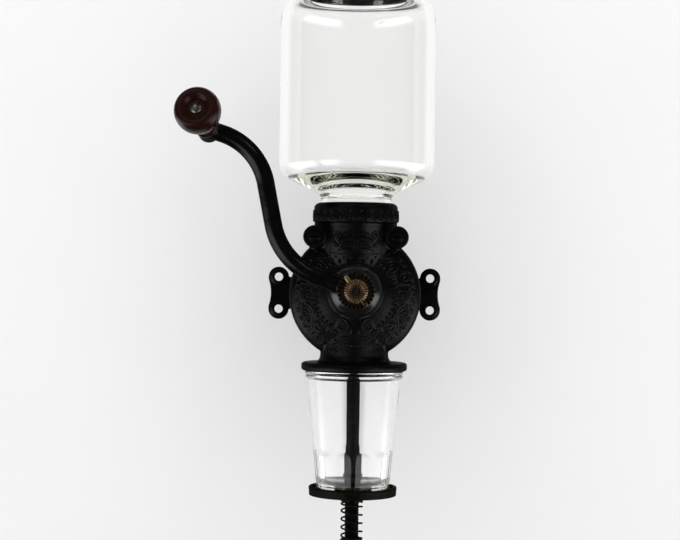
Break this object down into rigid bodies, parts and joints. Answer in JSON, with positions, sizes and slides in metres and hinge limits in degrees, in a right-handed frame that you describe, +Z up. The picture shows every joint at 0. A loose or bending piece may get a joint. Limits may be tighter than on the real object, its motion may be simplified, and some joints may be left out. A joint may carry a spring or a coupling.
{
  "type": "wall mounted coffee mill",
  "caption": "Wall mounted hand coffee mill: glass hopper jar over a cast iron grinding drum with a curved front crank, and a glass cup held below by a sprung plate.",
  "frame": {"origin": "centre of the four wall screws, on the wall plane", "axes": "+Z up, +Y into the wall, the crank side faces -Y, +X to the right seen from the front"},
  "size_m": [0.19, 0.1715, 0.4411],
  "materials": {
    "japanned_iron": "glossy black japan over cast iron",
    "rusty_steel": "rusted steel",
    "burr_steel": "bare steel",
    "worn_brass": "worn brass",
    "knob_wood": "dark varnished turned wood",
    "bright_steel": "worn bright steel",
    "clear_glass": "clear pressed glass",
    "tinned_steel": "dull tinned sheet",
    "brown_iron": "brown-black oxidised iron"
  },
  "bodies": {
    "mill": {"body_casting": "japanned_iron", "rear_casting": "japanned_iron", "cover_bolts": "rusty_steel", "fixed_burr": "burr_steel", "burr_screws": "burr_steel", "guide_rod": "brown_iron", "rod_pin": "burr_steel", "cup_spring": "brown_iron", "spring_washer": "brown_iron"},
    "crank": {"crank_arm": "japanned_iron", "index_ring": "worn_brass", "knob_pin": "bright_steel", "knob_washer": "bright_steel"},
    "shaft": {"main_shaft": "burr_steel", "turning_burr": "burr_steel", "drive_pin": "burr_steel", "feed_worm": "burr_steel"},
    "adjuster": {"adjusting_nut": "worn_brass"},
    "knob": {"crank_knob": "knob_wood"},
    "jar": {"hopper_jar": "clear_glass"},
    "lid": {"jar_lid": "tinned_steel"},
    "cup_rest": {"cup_plate": "brown_iron", "catch_cup": "clear_glass"},
    "thumb": {"thumb_nut": "brown_iron"}
  },
  "joints": [
    {"name": "crank_turn", "type": "hinge", "parent": "mill", "child": "crank", "pos_m": [0, -0.1, 0.0035], "axis": [0, 1, 0], "continuous": true},
    {"name": "grind_adjust", "type": "hinge", "parent": "crank", "child": "adjuster", "pos_m": [0, -0.138, 0.0035], "axis": [0, 1, 0], "range_deg": [-180, 180]},
    {"name": "burr_shift", "type": "slide", "parent": "crank", "child": "shaft", "axis": [0, -1, 0], "range_m": [-0.00069, 0.00069]},
    {"name": "knob_spin", "type": "hinge", "parent": "crank", "child": "knob", "pos_m": [-0.10365, -0.12535, 0.11442], "axis": [-0.1282, -0.9563, 0.2628], "continuous": true},
    {"name": "jar_lift", "type": "slide", "parent": "mill", "child": "jar", "axis": [0, 0, 1], "range_m": [0, 0.04]},
    {"name": "lid_lift", "type": "slide", "parent": "jar", "child": "lid", "axis": [0, 0, 1], "range_m": [0, 0.05]},
    {"name": "cup_lower", "type": "slide", "parent": "mill", "child": "cup_rest", "axis": [0, 0, -1], "range_m": [0, 0.012], "stiffness_N_per_m": 600, "springref_m": -0.015, "deforming": ["cup_spring"]},
    {"name": "thumb_turn", "type": "hinge", "parent": "mill", "child": "thumb", "pos_m": [0, -0.0123, -0.195], "axis": [0, 0, 1], "continuous": true}
  ],
  "couplings": [
    {"joint": "grind_adjust", "follows": "burr_shift", "rad_per_m": 4545.5}
  ]
}
